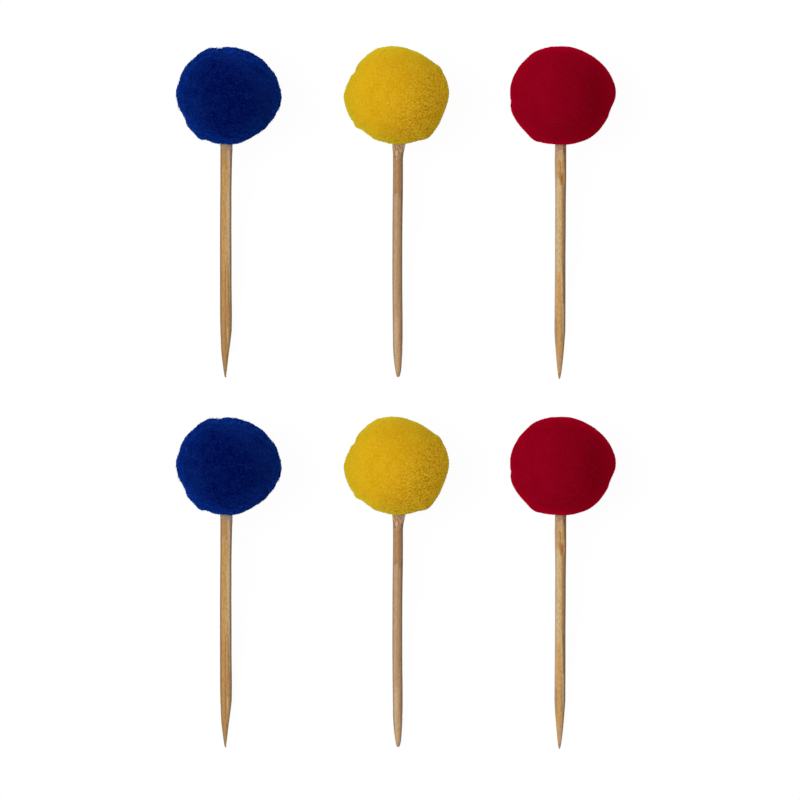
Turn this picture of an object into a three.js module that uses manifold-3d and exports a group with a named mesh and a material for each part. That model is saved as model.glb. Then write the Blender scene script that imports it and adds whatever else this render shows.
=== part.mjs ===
// Six pompom cake toppers, laid flat in two rows of three: a blue, a yellow and a red one in each row.
// A topper is a ball of cut yarn, tied round its middle and glued onto the end of a pointed wooden stick.
// It lies on the underside of its ball and on the tip of its stick, so the stick slopes down to the table.
// Sizes are millimetres. +X runs across the set, +Y from the points to the balls, and +Z up off the table.

import * as THREE from "three";
import { mergeVertices } from "three/addons/utils/BufferGeometryUtils.js";
import Module from "manifold-3d";

const wasm = await Module();
wasm.setup();

// How the six toppers are laid out.
const rowPitch = 105.8; // from a ball to the ball of the same colour in the other row
const rows = 2;

// What every topper shares.
const restFlat = 0.5; // how deep the ball's underside is pressed flat on the table
const crownCover = 9; // yarn left between the stick's end and the far side of the ball
const fit = 0.2; // clearance round the stick, the tie and the glue
const threadThickness = 0.9; // the thread that ties the yarn at its middle
const knotThickness = 1.7;
const glueDepth = 3; // how far the glue goes up into the ball
const glueWall = 0.4; // glue round the stick where it meets the ball
const glueEdge = 0.1; // glue left at the end of its lip

// How finely the round shapes are cut.
const ballDetail = 6;
const stickSides = 16;
const roundSides = 20;
const threadSides = 6;
const pointRings = 7;
const pointSpacing = 1.5; // above 1, the rings crowd towards the tip

// The three colours. A lump says which way it faces, round from +X and up from the table, in degrees,
// how far it stands proud of the plain ball, and the angle in degrees in which it fades.
const blue = {
  name: "blue",
  across: -48.1,
  yarnColour: "#0a1c62",
  woodColour: "#bf935c",
  ball: {
    width: 30,
    height: 28,
    thickness: 28.6,
    lumps: [
      { around: 120, up: 0, rise: 0.45, spread: 13 },
      { around: 240, up: 0, rise: 0.55, spread: 12 },
      { around: 350, up: 0, rise: 0.2, spread: 14 },
      { around: 30, up: 0, rise: -0.3, spread: 16 },
      { around: 75, up: 5, rise: -0.35, spread: 20 },
      { around: 165, up: 0, rise: -0.45, spread: 10 },
      { around: 205, up: 0, rise: -0.6, spread: 14 },
      { around: 305, up: 0, rise: -0.55, spread: 15 },
      { around: 60, up: 48, rise: 0.35, spread: 20 },
      { around: 190, up: 52, rise: -0.3, spread: 18 },
      { around: 320, up: 58, rise: 0.3, spread: 16 },
      { around: 110, up: -45, rise: -0.35, spread: 20 },
      { around: 250, up: -40, rise: 0.3, spread: 18 },
    ],
  },
  stick: {
    width: 3.36,
    squareness: 3.2,
    reach: 81.5,
    shift: -0.55,
    lean: 0,
    bow: -0.05,
    leftPoint: 12.9,
    rightPoint: 13.7,
    pointCurve: 0.75,
    tipWidth: 0.36,
    tipShift: -0.17,
  },
  glueLip: 0.4,
};

const yellow = {
  name: "yellow",
  across: 0.2,
  yarnColour: "#cfa016",
  woodColour: "#b98f68",
  ball: {
    width: 30,
    height: 28,
    thickness: 28.6,
    lumps: [
      { around: 52, up: 0, rise: -0.5, spread: 15 },
      { around: 105, up: 0, rise: 0.4, spread: 18 },
      { around: 151, up: 0, rise: -0.95, spread: 9 },
      { around: 187, up: 0, rise: 0.25, spread: 12 },
      { around: 238, up: 0, rise: -0.45, spread: 20 },
      { around: 312, up: 0, rise: 0.55, spread: 11 },
      { around: 338, up: 0, rise: -0.5, spread: 13 },
      { around: 20, up: 50, rise: -0.3, spread: 18 },
      { around: 140, up: 45, rise: 0.35, spread: 20 },
      { around: 260, up: 50, rise: 0.25, spread: 18 },
      { around: 80, up: -42, rise: 0.3, spread: 20 },
      { around: 215, up: -45, rise: -0.35, spread: 18 },
    ],
  },
  stick: {
    width: 2.98,
    squareness: 2.1,
    reach: 81.35,
    shift: 0.25,
    lean: 0.02,
    bow: -0.17,
    leftPoint: 9.2,
    rightPoint: 7.8,
    pointCurve: 0.6,
    tipWidth: 0.6,
    tipShift: 0,
  },
  glueLip: 2.2,
};

const red = {
  name: "red",
  across: 47.3,
  yarnColour: "#840419",
  woodColour: "#c79a66",
  ball: {
    width: 30.2,
    height: 28.2,
    thickness: 28.6,
    lumps: [
      { around: 8, up: 0, rise: 0.45, spread: 13 },
      { around: 52, up: 0, rise: -0.3, spread: 16 },
      { around: 122, up: 0, rise: 0.4, spread: 18 },
      { around: 180, up: 0, rise: -0.35, spread: 12 },
      { around: 240, up: 0, rise: 0.7, spread: 11 },
      { around: 345, up: 0, rise: -0.5, spread: 11 },
      { around: 90, up: 50, rise: 0.3, spread: 20 },
      { around: 230, up: 48, rise: -0.3, spread: 18 },
      { around: 340, up: 52, rise: 0.3, spread: 18 },
      { around: 40, up: -44, rise: -0.3, spread: 20 },
      { around: 160, up: -42, rise: 0.3, spread: 18 },
    ],
  },
  stick: {
    width: 3.16,
    squareness: 2.3,
    reach: 81.95,
    shift: -0.18,
    lean: -0.23,
    bow: 0,
    leftPoint: 14,
    rightPoint: 14,
    pointCurve: 0.62,
    tipWidth: 0.3,
    tipShift: -0.09,
  },
  glueLip: 0.4,
};

const colours = [blue, yellow, red];

// A closed three.js geometry as a solid that can be joined and cut.
function solidOf(geometry) {
  const bare = geometry.clone();
  bare.deleteAttribute("normal");
  bare.deleteAttribute("uv");
  const merged = mergeVertices(bare, 1e-4);
  return new wasm.Manifold(
    new wasm.Mesh({
      numProp: 3,
      vertProperties: merged.attributes.position.array,
      triVerts: new Uint32Array(merged.index.array),
    }),
  );
}

// A solid's faces as a three.js geometry.
function geometryOf(solid) {
  const mesh = solid.getMesh();
  const geometry = new THREE.BufferGeometry();
  const points = new THREE.BufferAttribute(new Float32Array(mesh.vertProperties), 3);
  geometry.setAttribute("position", points);
  geometry.setIndex(new THREE.BufferAttribute(new Uint32Array(mesh.triVerts), 1));
  geometry.computeVertexNormals();
  return geometry;
}

// A closed skin over a row of rings that have the same number of points, flat at both ends.
function skinOver(rings) {
  const sides = rings[0].length;
  const last = (rings.length - 1) * sides;
  const faces = [];
  for (let ring = 0; ring < rings.length - 1; ring += 1) {
    for (let side = 0; side < sides; side += 1) {
      const next = (side + 1) % sides;
      const here = ring * sides;
      const there = here + sides;
      faces.push(here + side, there + next, there + side);
      faces.push(here + side, here + next, there + next);
    }
  }
  for (let side = 1; side < sides - 1; side += 1) {
    faces.push(0, side + 1, side);
    faces.push(last, last + side, last + side + 1);
  }
  const geometry = new THREE.BufferGeometry().setFromPoints(rings.flat());
  geometry.setIndex(faces);
  geometry.computeVertexNormals();
  return geometry;
}

// One ring of a stick's section, at a distance down the stick from the ball's middle.
// The section is a rounded square between its left and right edges, as deep as it is wide.
function sectionRing(stick, distance, left, right, middle) {
  const ring = [];
  for (let side = 0; side < stickSides; side += 1) {
    const angle = (2 * Math.PI * side) / stickSides;
    const across = Math.sign(Math.cos(angle)) * Math.abs(Math.cos(angle)) ** (2 / stick.squareness);
    const up = Math.sign(Math.sin(angle)) * Math.abs(Math.sin(angle)) ** (2 / stick.squareness);
    const half = across < 0 ? left : right;
    ring.push(new THREE.Vector3(middle + across * half, -distance, (up * (left + right)) / 2));
  }
  return ring;
}

// The farthest that a stick's section reaches from its middle line, which is along its corners.
function cornerReach(stick) {
  const ring = sectionRing(stick, 0, stick.width / 2, stick.width / 2, 0);
  return Math.max(...ring.map((point) => Math.hypot(point.x, point.z)));
}

// The stick's width to one side, at a distance back from its tip, where it is tipHalf.
function halfWidth(stick, back, pointLength, tipHalf) {
  const share = Math.min(1, back / pointLength) ** stick.pointCurve;
  return tipHalf + (stick.width / 2 - tipHalf) * share;
}

// Where the stick leaves the ball, and where its end sits inside, down the stick from the ball's middle.
function neckOf(ball) {
  return ball.height / 2;
}

function endOf(ball) {
  return crownCover - ball.height / 2;
}

// The sections of a stick, from the square end inside the ball to the tip. It may be bowed a little outside.
function stickSections(ball, stick) {
  const neck = neckOf(ball);
  const pointStart = stick.reach - Math.max(stick.leftPoint, stick.rightPoint);
  const distances = [endOf(ball), neck, (neck + pointStart) / 2];
  for (let ring = 0; ring <= pointRings; ring += 1) {
    const back = (1 - ring / pointRings) ** pointSpacing;
    distances.push(stick.reach - back * (stick.reach - pointStart));
  }
  return distances.map((distance) => {
    const back = stick.reach - distance;
    const share = Math.max(0, (distance - neck) / (stick.reach - neck));
    const middle = 4 * stick.bow * share * (1 - share);
    const left = halfWidth(stick, back, stick.leftPoint, stick.tipWidth / 2 - stick.tipShift);
    const right = halfWidth(stick, back, stick.rightPoint, stick.tipWidth / 2 + stick.tipShift);
    return { distance, left, right, middle };
  });
}

function stickGeometry(ball, stick) {
  const rings = stickSections(ball, stick).map(({ distance, left, right, middle }) =>
    sectionRing(stick, distance, left, right, middle),
  );
  return skinOver(rings);
}

// The stick's plain section, grown by the fit, from one distance down the stick to another.
function stickHole(stick, from, to) {
  const half = stick.width / 2 + fit;
  return skinOver([sectionRing(stick, from, half, half, 0), sectionRing(stick, to, half, half, 0)]);
}

// The glue's outer shape, grown by a clearance: a sleeve in the ball that thins to a lip down the stick.
// The seat in the ball is cut straight out past the lip.
function glueShape(ball, stick, lip, grow, straight) {
  const neck = neckOf(ball);
  const inner = cornerReach(stick) + fit;
  const wide = inner + glueWall + grow;
  const top = glueDepth - neck + grow;
  const edge = straight ? wide : inner + glueEdge;
  const profile = [
    new THREE.Vector2(0, -neck - lip),
    new THREE.Vector2(edge, -neck - lip),
    new THREE.Vector2(wide, -neck),
    new THREE.Vector2(wide, top),
    new THREE.Vector2(0, top),
  ];
  return new THREE.LatheGeometry(profile, roundSides);
}

function glueGeometry(ball, stick, lip) {
  const sleeve = solidOf(glueShape(ball, stick, lip, 0, false));
  const hole = solidOf(stickHole(stick, neckOf(ball) - glueDepth - fit, neckOf(ball) + lip + fit));
  return geometryOf(sleeve.subtract(hole));
}

// The tie is a loop of thread round the stick at the ball's middle, with its knot on one side.
function tieRadius(stick) {
  return cornerReach(stick) + fit + threadThickness / 2;
}

function tieGeometry(stick) {
  const loop = new THREE.TorusGeometry(tieRadius(stick), threadThickness / 2, threadSides, roundSides);
  const knot = new THREE.IcosahedronGeometry(knotThickness / 2, 1);
  knot.translate(0, tieRadius(stick) + (knotThickness - threadThickness) / 2, 0);
  const tie = geometryOf(solidOf(loop).add(solidOf(knot)));
  return tie.rotateX(Math.PI / 2);
}

// The room that the tie takes in the middle of the yarn.
function tieRoom(stick) {
  const radius = tieRadius(stick) + knotThickness - threadThickness / 2 + fit;
  return new THREE.CylinderGeometry(radius, radius, knotThickness + 2 * fit, roundSides);
}

// How far the yarn reaches from the ball's middle, along a direction of length 1.
function yarnReach(ball, direction) {
  let reach =
    1 /
    Math.hypot(
      direction.x / (ball.width / 2),
      direction.y / (ball.height / 2),
      direction.z / (ball.thickness / 2),
    );
  for (const lump of ball.lumps) {
    const up = THREE.MathUtils.degToRad(lump.up);
    const around = THREE.MathUtils.degToRad(lump.around);
    const towards = new THREE.Vector3(
      Math.cos(up) * Math.cos(around),
      Math.cos(up) * Math.sin(around),
      Math.sin(up),
    );
    const away = THREE.MathUtils.radToDeg(direction.angleTo(towards));
    reach += lump.rise * Math.exp(-((away / lump.spread) ** 2));
  }
  return reach;
}

// The height of the ball's middle over the table.
function restHeight(ball) {
  return ball.thickness / 2 - restFlat;
}

// The trimmed ball before its underside is pressed flat and its inside is cut.
function ballGeometry(ball) {
  const geometry = new THREE.IcosahedronGeometry(1, ballDetail);
  const points = geometry.attributes.position;
  const direction = new THREE.Vector3();
  for (let index = 0; index < points.count; index += 1) {
    direction.fromBufferAttribute(points, index).normalize();
    direction.multiplyScalar(yarnReach(ball, direction));
    points.setXYZ(index, direction.x, direction.y, direction.z);
  }
  return geometry.translate(0, 0, restHeight(ball));
}

// The table's upper half space, as large as the ball needs.
function overTable(ball) {
  const size = 2 * Math.max(ball.width, ball.height, ball.thickness);
  return new THREE.BoxGeometry(size, size, size).translate(0, 0, size / 2);
}

// Where a stick lies: from the ball's middle it slopes down until one of its sections meets the table.
function stickPlace(ball, stick) {
  const height = restHeight(ball);
  const slopes = stickSections(ball, stick)
    .filter(({ distance }) => distance > neckOf(ball))
    .map(({ distance, left, right }) => {
      const half = (left + right) / 2;
      return Math.asin(height / Math.hypot(distance, half)) - Math.atan2(half, distance);
    });
  const slope = Math.min(...slopes);
  const place = new THREE.Matrix4().makeTranslation(stick.shift, 0, height);
  place.multiply(new THREE.Matrix4().makeRotationZ(THREE.MathUtils.degToRad(stick.lean)));
  place.multiply(new THREE.Matrix4().makeRotationX(slope));
  return place;
}

// The yarn with its flat underside, the hole for the stick, the room for the tie and the seat for the glue.
function pompomGeometry(style) {
  const { ball, stick, glueLip } = style;
  const past = neckOf(ball) + glueLip + fit;
  const cuts = [
    stickHole(stick, endOf(ball) - fit, past),
    tieRoom(stick),
    glueShape(ball, stick, glueLip + fit, fit, true),
  ];
  let yarn = solidOf(ballGeometry(ball)).intersect(solidOf(overTable(ball)));
  for (const cut of cuts) {
    yarn = yarn.subtract(solidOf(cut.applyMatrix4(stickPlace(ball, stick))));
  }
  return geometryOf(yarn);
}

const woodFinish = { roughness: 0.7, metalness: 0 };
const yarnFinish = { roughness: 0.95, metalness: 0 };
const threadFinish = { roughness: 0.9, metalness: 0 };
const glueFinish = { roughness: 0.3, metalness: 0 };
const threadColour = "#d8d2c4";
const glueColour = "#e6dcc8";

function namedMesh(name, geometry, colour, finish) {
  const mesh = new THREE.Mesh(geometry, new THREE.MeshStandardMaterial({ color: colour, ...finish }));
  mesh.name = name;
  return mesh;
}

// One topper, with its ball's middle over the group's own origin.
function makeTopper(style, number) {
  const { name, ball, stick, yarnColour, woodColour, glueLip } = style;
  const topper = new THREE.Group();
  const onStick = new THREE.Group();
  onStick.add(namedMesh(`${name}_stick_${number}`, stickGeometry(ball, stick), woodColour, woodFinish));
  onStick.add(namedMesh(`${name}_tie_${number}`, tieGeometry(stick), threadColour, threadFinish));
  const glue = glueGeometry(ball, stick, glueLip);
  onStick.add(namedMesh(`${name}_glue_${number}`, glue, glueColour, glueFinish));
  onStick.applyMatrix4(stickPlace(ball, stick));
  topper.add(namedMesh(`${name}_pompom_${number}`, pompomGeometry(style), yarnColour, yarnFinish));
  topper.add(onStick);
  return topper;
}

// The set stands with the middle of its outer box over the origin.
function makeSet() {
  const set = new THREE.Group();
  for (let row = 0; row < rows; row += 1) {
    for (const style of colours) {
      const topper = makeTopper(style, row + 1);
      topper.position.set(style.across, -row * rowPitch, 0);
      set.add(topper);
    }
  }
  const middle = new THREE.Box3().setFromObject(set, true).getCenter(new THREE.Vector3());
  set.position.set(-middle.x, -middle.y, 0);
  return set;
}

export default makeSet();
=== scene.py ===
import functools
import math

import bpy
import numpy as np
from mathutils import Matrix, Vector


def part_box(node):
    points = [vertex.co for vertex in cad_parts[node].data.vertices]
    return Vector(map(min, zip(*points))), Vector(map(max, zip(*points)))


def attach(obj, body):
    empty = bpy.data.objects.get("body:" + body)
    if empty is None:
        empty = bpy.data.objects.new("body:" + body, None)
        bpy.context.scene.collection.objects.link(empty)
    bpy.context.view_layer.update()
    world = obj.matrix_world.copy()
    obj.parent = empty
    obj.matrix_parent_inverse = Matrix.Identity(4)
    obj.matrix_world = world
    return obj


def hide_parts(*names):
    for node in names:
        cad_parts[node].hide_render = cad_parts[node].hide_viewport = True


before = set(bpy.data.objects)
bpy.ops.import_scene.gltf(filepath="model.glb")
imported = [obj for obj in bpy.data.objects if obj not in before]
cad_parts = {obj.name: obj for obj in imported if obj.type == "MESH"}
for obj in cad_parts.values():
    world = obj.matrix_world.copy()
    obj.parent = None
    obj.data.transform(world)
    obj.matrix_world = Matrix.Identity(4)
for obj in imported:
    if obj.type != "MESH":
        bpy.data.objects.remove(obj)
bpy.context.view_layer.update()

# Six pompom cake toppers on a white table, seen from straight above.
# Lengths are in millimetres until a mesh is made, and angles in degrees.
metre = 0.001
colourNames = ["blue", "yellow", "red"]
rowNumbers = [1, 2]

# The toppers' shapes, as the frame has them. Fit is the room between two pieces.
topperSizes = {
    "restFlat": 0.5,
    "crownCover": 9,
    "fit": 0.2,
    "knotThickness": 1.7,
    "glueDepth": 3,
    "glueWall": 0.4,
    "pointRings": 7,
    "pointSpacing": 1.5,
}

# A lump is (round from +X, up from the table, rise, the angle in which it fades).
ballShapes = {
    "blue": {
        "size": (30, 28, 28.6),
        "lumps": [
            (120, 0, 0.45, 13), (240, 0, 0.55, 12), (350, 0, 0.2, 14), (30, 0, -0.3, 16),
            (75, 5, -0.35, 20), (165, 0, -0.45, 10), (205, 0, -0.6, 14), (305, 0, -0.55, 15),
            (60, 48, 0.35, 20), (190, 52, -0.3, 18), (320, 58, 0.3, 16), (110, -45, -0.35, 20),
            (250, -40, 0.3, 18),
        ],
    },
    "yellow": {
        "size": (30, 28, 28.6),
        "lumps": [
            (52, 0, -0.5, 15), (105, 0, 0.4, 18), (151, 0, -0.95, 9), (187, 0, 0.25, 12),
            (238, 0, -0.45, 20), (312, 0, 0.55, 11), (338, 0, -0.5, 13), (20, 50, -0.3, 18),
            (140, 45, 0.35, 20), (260, 50, 0.25, 18), (80, -42, 0.3, 20), (215, -45, -0.35, 18),
        ],
    },
    "red": {
        "size": (30.2, 28.2, 28.6),
        "lumps": [
            (8, 0, 0.45, 13), (52, 0, -0.3, 16), (122, 0, 0.4, 18), (180, 0, -0.35, 12),
            (240, 0, 0.7, 11), (345, 0, -0.5, 11), (90, 50, 0.3, 20), (230, 48, -0.3, 18),
            (340, 52, 0.3, 18), (40, -44, -0.3, 20), (160, -42, 0.3, 18),
        ],
    },
}

stickShapes = {
    "blue": {
        "width": 3.36, "squareness": 3.2, "reach": 81.5, "shift": -0.55, "lean": 0, "bow": -0.05,
        "leftPoint": 12.9, "rightPoint": 13.7, "pointCurve": 0.75, "tipWidth": 0.36, "tipShift": -0.17,
    },
    "yellow": {
        "width": 2.98, "squareness": 2.1, "reach": 81.35, "shift": 0.25, "lean": 0.02, "bow": -0.17,
        "leftPoint": 9.2, "rightPoint": 7.8, "pointCurve": 0.6, "tipWidth": 0.6, "tipShift": 0,
    },
    "red": {
        "width": 3.16, "squareness": 2.3, "reach": 81.95, "shift": -0.18, "lean": -0.23, "bow": 0,
        "leftPoint": 14, "rightPoint": 14, "pointCurve": 0.62, "tipWidth": 0.3, "tipShift": -0.09,
    },
}


def unit(vectors):
    return vectors / np.linalg.norm(vectors, axis=-1, keepdims=True)


# A bell is 1 where away is 0, and it fades with the square of away over spread.
def bell(away, spread):
    return np.exp(-((away / spread) ** 2))


# The angles right round in even steps, in radians.
def fullTurn(steps):
    return np.arange(steps) / steps * 2 * math.pi


# The direction at an angle round from +X and an angle up from the table.
def wayFrom(around, up=0.0):
    around, up = math.radians(around), math.radians(up)
    return math.cos(up) * math.cos(around), math.cos(up) * math.sin(around), math.sin(up)


# Noise as a sum of plane waves: each has a random direction and phase and a length near the given size.
# The sum has a mean of 0 and a spread of about 1.
waveSettings = {"count": 40, "shortest": 0.75, "longest": 1.35}


def waveNoise(points, size, seed):
    count = waveSettings["count"]
    random = np.random.default_rng(seed)
    ways = unit(random.normal(size=(count, 3)))
    lengths = size * random.uniform(waveSettings["shortest"], waveSettings["longest"], count)
    phases = random.uniform(0, 2 * math.pi, count)
    turns = points @ (ways * (2 * math.pi / lengths)[:, None]).T + phases
    return np.sin(turns).sum(-1) * math.sqrt(2 / count)


# A smooth step from 0 at low to 1 at high.
def smoothStep(low, high, value):
    share = np.clip((value - low) / (high - low), 0, 1)
    return share * share * (3 - 2 * share)


# Directions spread evenly over a sphere: a spiral from pole to pole, turned by the golden angle at each step.
def evenDirections(count):
    step = np.arange(count) + 0.5
    height = 1 - 2 * step / count
    angle = math.pi * (3 - math.sqrt(5)) * step
    across = np.sqrt(1 - height**2)
    return np.stack([across * np.cos(angle), across * np.sin(angle), height], axis=1)


def newObject(name, data):
    made = bpy.data.objects.new(name, data)
    bpy.context.scene.collection.objects.link(made)
    return made


# A closed skin over rows of rings. Rows run along the shape, and columns turn right-handed about that way.
# The first and last row are closed by a point each, the ends, or the rows themselves close in a loop.
# Texture places run round the columns and along the rows, from 0 to 1.
def skinOver(name, rings, pointValues, ends=None):
    rows, columns, _ = rings.shape
    loop = ends is None
    vertices = rings.reshape(-1, 3)
    row = np.arange(rows if loop else rows - 1)[:, None]
    column = np.arange(columns)[None, :]
    nextRow = (row + 1) % rows
    nextColumn = (column + 1) % columns
    here, there = row * columns, nextRow * columns
    quads = np.stack([here + column, here + nextColumn, there + nextColumn, there + column], axis=-1)
    low, high = (row + 0.5) / (rows + 1), (row + 1.5) / (rows + 1)
    left, right = column / columns, (column + 1) / columns
    corners = [(left, low), (right, low), (right, high), (left, high)]
    quadPlaces = np.stack([np.stack(np.broadcast_arrays(*corner), axis=-1) for corner in corners], axis=-2)
    faces = quads.reshape(-1, 4).tolist()
    places = [quadPlaces.reshape(-1, 2)]
    if not loop:
        around, after, left, right = column[0], nextColumn[0], left[0], right[0]
        middle, level = (around + 0.5) / columns, 0.5 / (rows + 1)
        low, high = np.full(columns, level), np.full(columns, 1 - level)
        first, lastRow = np.full(columns, len(vertices)), (rows - 1) * columns
        faces += np.stack([first, after, around], axis=1).tolist()
        faces += np.stack([first + 1, lastRow + around, lastRow + after], axis=1).tolist()
        places.append(np.stack([middle, 0 * middle, right, low, left, low], axis=1).reshape(-1, 2))
        places.append(np.stack([middle, 0 * middle + 1, left, high, right, high], axis=1).reshape(-1, 2))
        vertices = np.vstack([vertices, *ends])
    mesh = bpy.data.meshes.new(name)
    mesh.from_pydata((vertices * metre).tolist(), [], faces)
    layer = mesh.uv_layers.new(name="OFBake")
    layer.data.foreach_set("uv", np.vstack(places).astype(np.float32).ravel())
    for label, values in pointValues.items():
        isVector = values.ndim == 3
        flat = values.reshape(rows * columns, -1)
        if not loop:
            flat = np.vstack([flat, flat[:columns].mean(0), flat[-columns:].mean(0)])
        attribute = mesh.attributes.new(label, "FLOAT_VECTOR" if isVector else "FLOAT", "POINT")
        attribute.data.foreach_set("vector" if isVector else "value", flat.astype(np.float32).ravel())
    mesh.polygons.foreach_set("use_smooth", np.ones(len(mesh.polygons), bool))
    return newObject(name, mesh)


# How far the plain ball with its lumps reaches along each direction: an ellipsoid, with a bell of the angle
# from each lump's middle on it.
def ballReach(ways, shape):
    reach = 1 / np.linalg.norm(ways / (np.array(shape["size"]) / 2), axis=-1)
    for around, up, rise, spread in shape["lumps"]:
        towards = np.array(wayFrom(around, up))
        reach = reach + rise * bell(np.degrees(np.arccos(np.clip(ways @ towards, -1, 1))), spread)
    return reach


# What the folds and notches of the yarn add on the ball's sides: each is a bell of the angle round from +X,
# and all of them fade upwards and downwards over foldFade degrees.
def foldRise(ways, folds):
    around = np.degrees(np.arctan2(ways[..., 1], ways[..., 0]))
    up = np.degrees(np.arcsin(np.clip(ways[..., 2], -1, 1)))
    rise = sum(height * bell((around - place + 180) % 360 - 180, spread) for place, height, spread in folds)
    return rise * bell(up, pompomLook["foldFade"])


def restHeight(colour):
    return ballShapes[colour]["size"][2] / 2 - topperSizes["restFlat"]


boxDirections = 20000  # the ball is measured along so many of them


# The ball's middle. Along X and Y it is the middle of its node's box, less that of a ball about the origin.
@functools.cache
def ballMiddle(colour, number):
    low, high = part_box(f"{colour}_pompom_{number}")
    ways = evenDirections(boxDirections)
    around = ways * ballReach(ways, ballShapes[colour])[:, None]
    offset = (around.min(0) + around.max(0)) / 2
    middle = (np.array(low) + np.array(high)) / 2 / metre - offset
    return np.array([middle[0], middle[1], restHeight(colour)])


# The plain stick's widths to the left and to the right of its middle line, at a distance back from its tip:
# a power of that distance makes the point.
def sideWidths(stick, back):
    half, shift = stick["tipWidth"] / 2, stick["tipShift"]
    sides = ((half - shift, stick["leftPoint"]), (half + shift, stick["rightPoint"]))
    return [tip + (stick["width"] / 2 - tip) * np.minimum(1, back / point) ** stick["pointCurve"]
            for tip, point in sides]


# Where the stick leaves the yarn, and where it ends in it, down the stick from the ball's middle.
def neckOf(colour):
    return ballShapes[colour]["size"][1] / 2


def endOf(colour):
    return topperSizes["crownCover"] - neckOf(colour)


def shiftOf(colour):
    return np.array([stickShapes[colour]["shift"], 0, 0])


# The slope at which the lowest of the frame's own sections of the stick meets the table.
def stickSlope(colour):
    stick, height = stickShapes[colour], restHeight(colour)
    pointLength = max(stick["leftPoint"], stick["rightPoint"])
    rings = np.arange(topperSizes["pointRings"] + 1) / topperSizes["pointRings"]
    back = pointLength * (1 - rings) ** topperSizes["pointSpacing"]
    half = sum(sideWidths(stick, back)) / 2
    distance = stick["reach"] - back
    return float(np.min(np.arcsin(height / np.hypot(distance, half)) - np.arctan2(half, distance)))


# The stick's own axes in the set's frame: across it, up from it, and down along it to its tip.
def stickAxes(colour):
    slope, lean = stickSlope(colour), math.radians(stickShapes[colour]["lean"])
    turn = np.array([[math.cos(lean), -math.sin(lean), 0], [math.sin(lean), math.cos(lean), 0], [0, 0, 1]])
    cosine, sine = math.cos(slope), math.sin(slope)
    tilt = np.array([[1, 0, 0], [0, cosine, -sine], [0, sine, cosine]])
    across, back, up = (turn @ tilt).T
    return across, up, -back


# Places given as across, up and along the stick, as points of the topper's frame about the ball's middle.
def onStick(colour, places):
    across, up, along = stickAxes(colour)
    return shiftOf(colour) + places[..., :1] * across + places[..., 1:2] * up + places[..., 2:3] * along


# How far the plain stick's section, a rounded square, reaches at an angle round it.
def sectionReach(colour, turn):
    stick = stickShapes[colour]
    power = stick["squareness"]
    corners = np.abs(np.cos(turn)) ** power + np.abs(np.sin(turn)) ** power
    return stick["width"] / 2 / corners ** (1 / power)


# The widths to the left and to the right, trimmed and with their rises, at a distance down from the neck.
def trimmedSides(colour, widths, down):
    look = stickLook[colour]
    return [width - trim + sum(rise * bell(down - place, spread) for place, spread, rise in rises)
            for width, trim, rises in zip(widths, look["trim"], look["rises"])]


# What goes from its left value to its right one with the cosine of the angle round the stick.
def leftToRight(pair, turn):
    left, right = pair
    return (left + right) / 2 + (right - left) / 2 * np.cos(turn)


# How far the trimmed stick reaches where it leaves the yarn, at an angle round it.
def neckReach(colour, turn):
    return sectionReach(colour, turn) + leftToRight(trimmedSides(colour, (0, 0), 0), turn)


# A colour read off a screen, 0 to 255, as the linear colour that nodes take.
def shade(red, green, blue):
    share = np.array([red, green, blue]) / 255
    linear = np.where(share <= 0.04045, share / 12.92, ((share + 0.055) / 1.055) ** 2.4)
    return (*linear.tolist(), 1.0)


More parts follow.
